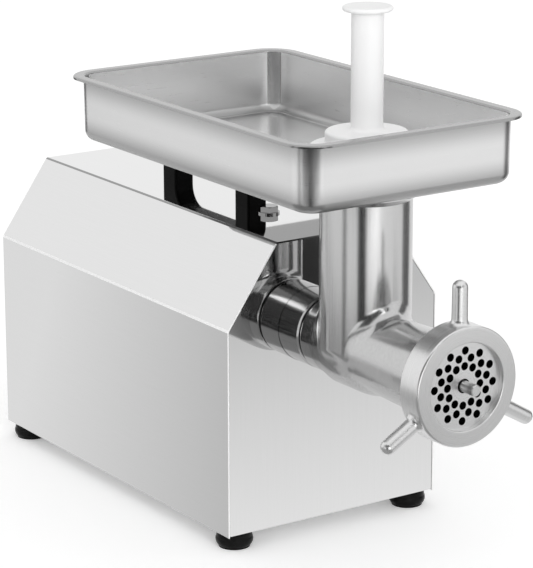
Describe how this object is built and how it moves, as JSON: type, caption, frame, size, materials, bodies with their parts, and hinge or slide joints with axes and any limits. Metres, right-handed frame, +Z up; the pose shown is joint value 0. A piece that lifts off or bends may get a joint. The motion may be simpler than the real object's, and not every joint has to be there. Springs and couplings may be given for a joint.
{
  "type": "electric_meat_grinder",
  "caption": "Electric meat grinder: folded stainless housing with motor and gears, cast mincing head with worm, knife, plate and ring, feed pan and plunger",
  "frame": {"origin": "on the bench under the middle of the whole machine's outline", "axes": "+Z up, the mincing head points towards -Y, +X is the right-hand side seen from the front"},
  "size_m": [0.2696, 0.67, 0.5007],
  "materials": {
    "satin_sheet": "fine brushed stainless sheet",
    "mirror_sheet": "mirror-polished stainless sheet",
    "cast_steel": "polished stainless casting with a soft satin sheen",
    "pan_steel": "drawn stainless sheet, polished",
    "cutter_steel": "ground tool steel",
    "screw_steel": "bright zinc-plated steel",
    "dark_steel": "black-oxide socket screws",
    "white_plastic": "white food-grade polyethylene, low sheen",
    "black_plastic": "black moulded plastic, low sheen",
    "green_plastic": "green moulded rocker",
    "red_plastic": "red moulded button",
    "foot_rubber": "black rubber",
    "gearbox_alloy": "die-cast aluminium",
    "gear_steel": "hobbed and hardened steel",
    "bearing_steel": "ground bearing steel",
    "lamination_steel": "varnished electrical steel laminations",
    "winding_enamel": "varnished copper winding",
    "cream_plastic": "cream moulded terminal strip",
    "nylon": "natural nylon"
  },
  "bodies": {
    "housing": {"housing_wrap": "satin_sheet", "front_panel": "mirror_sheet", "rear_panel": "satin_sheet", "base_plate": "satin_sheet", "foot_front_left": "foot_rubber", "foot_front_right": "foot_rubber", "foot_rear_left": "foot_rubber", "foot_rear_right": "foot_rubber", "foot_screws": "screw_steel", "rear_panel_screws": "screw_steel", "carry_handle": "black_plastic", "handle_screws": "screw_steel", "top_bolt": "screw_steel", "cable_gland": "black_plastic", "switch_plate": "black_plastic", "reset_collar": "black_plastic", "neck": "cast_steel", "neck_seal": "foot_rubber", "neck_bolts": "dark_steel", "gearbox_case": "gearbox_alloy", "gearbox_cover": "gearbox_alloy", "gearbox_bolts": "dark_steel", "oil_seal": "foot_rubber", "output_bearing_front": "bearing_steel", "output_bearing_rear": "bearing_steel", "mid_bearings": "bearing_steel", "motor_bearings": "bearing_steel", "stator_core": "lamination_steel", "stator_windings": "winding_enamel", "motor_shell": "gearbox_alloy", "motor_front_bell": "gearbox_alloy", "motor_rear_bell": "gearbox_alloy", "fan_cover": "dark_steel", "motor_feet": "gearbox_alloy", "capacitor": "black_plastic", "capacitor_clip": "gearbox_alloy", "terminal_block": "cream_plastic"},
    "head": {"head_casting": "cast_steel", "plate_key": "cutter_steel", "thrust_washer": "nylon", "grinding_plate": "cutter_steel"},
    "worm": {"worm": "cast_steel", "worm_stud": "cutter_steel", "knife": "cutter_steel"},
    "output": {"output_shaft": "gear_steel", "output_gear": "gear_steel"},
    "middle": {"mid_shaft": "gear_steel", "mid_gear": "gear_steel"},
    "rotor": {"motor_shaft": "gear_steel", "rotor_core": "lamination_steel", "cooling_fan": "black_plastic"},
    "ring": {"ring_nut": "cast_steel"},
    "pan": {"feed_pan": "pan_steel"},
    "plunger": {"plunger": "white_plastic"},
    "clamp": {"lock_screw": "black_plastic"},
    "power_key": {"power_rocker": "green_plastic"},
    "reverse_key": {"reverse_rocker": "black_plastic"},
    "reset_key": {"reset_button": "red_plastic"}
  },
  "joints": [
    {"name": "head_draw", "type": "slide", "parent": "housing", "child": "head", "axis": [0, -1, 0], "range_m": [0, 0.065]},
    {"name": "worm_spin", "type": "hinge", "parent": "head", "child": "worm", "pos_m": [-0.0133, -0.19555, 0.201], "axis": [0, 1, 0], "continuous": true},
    {"name": "output_spin", "type": "hinge", "parent": "housing", "child": "output", "pos_m": [-0.0133, -0.04555, 0.201], "axis": [0, 1, 0], "continuous": true},
    {"name": "middle_spin", "type": "hinge", "parent": "housing", "child": "middle", "pos_m": [0.0079, -0.04555, 0.14274], "axis": [0, 1, 0], "continuous": true},
    {"name": "rotor_spin", "type": "hinge", "parent": "housing", "child": "rotor", "pos_m": [0.01624, 0.05445, 0.09547], "axis": [0, 1, 0], "continuous": true},
    {"name": "ring_turn", "type": "hinge", "parent": "head", "child": "ring", "pos_m": [-0.0133, -0.31055, 0.201], "axis": [0, -1, 0], "range_deg": [0, 1170]},
    {"name": "pan_lift", "type": "slide", "parent": "head", "child": "pan", "axis": [0, 0, 1], "range_m": [0, 0.045]},
    {"name": "plunger_lift", "type": "slide", "parent": "pan", "child": "plunger", "axis": [0, 0, 1], "range_m": [0, 0.11]},
    {"name": "clamp_turn", "type": "hinge", "parent": "housing", "child": "clamp", "pos_m": [0.0367, -0.11055, 0.201], "axis": [1, 0, 0], "range_deg": [0, 540]},
    {"name": "power_rock", "type": "hinge", "parent": "housing", "child": "power_key", "pos_m": [0.1197, -0.00155, 0.126], "axis": [0, 1, 0], "range_deg": [0, 16]},
    {"name": "reverse_rock", "type": "hinge", "parent": "housing", "child": "reverse_key", "pos_m": [0.1197, 0.03445, 0.126], "axis": [0, 1, 0], "range_deg": [0, 16]},
    {"name": "reset_press", "type": "slide", "parent": "housing", "child": "reset_key", "axis": [-1, 0, 0], "range_m": [0, 0.002], "stiffness_N_per_m": 500}
  ],
  "couplings": [
    {"joint": "output_spin", "follows": "worm_spin", "ratio": 1},
    {"joint": "middle_spin", "follows": "worm_spin", "ratio": -2.6471},
    {"joint": "rotor_spin", "follows": "worm_spin", "ratio": 7.9412}
  ]
}
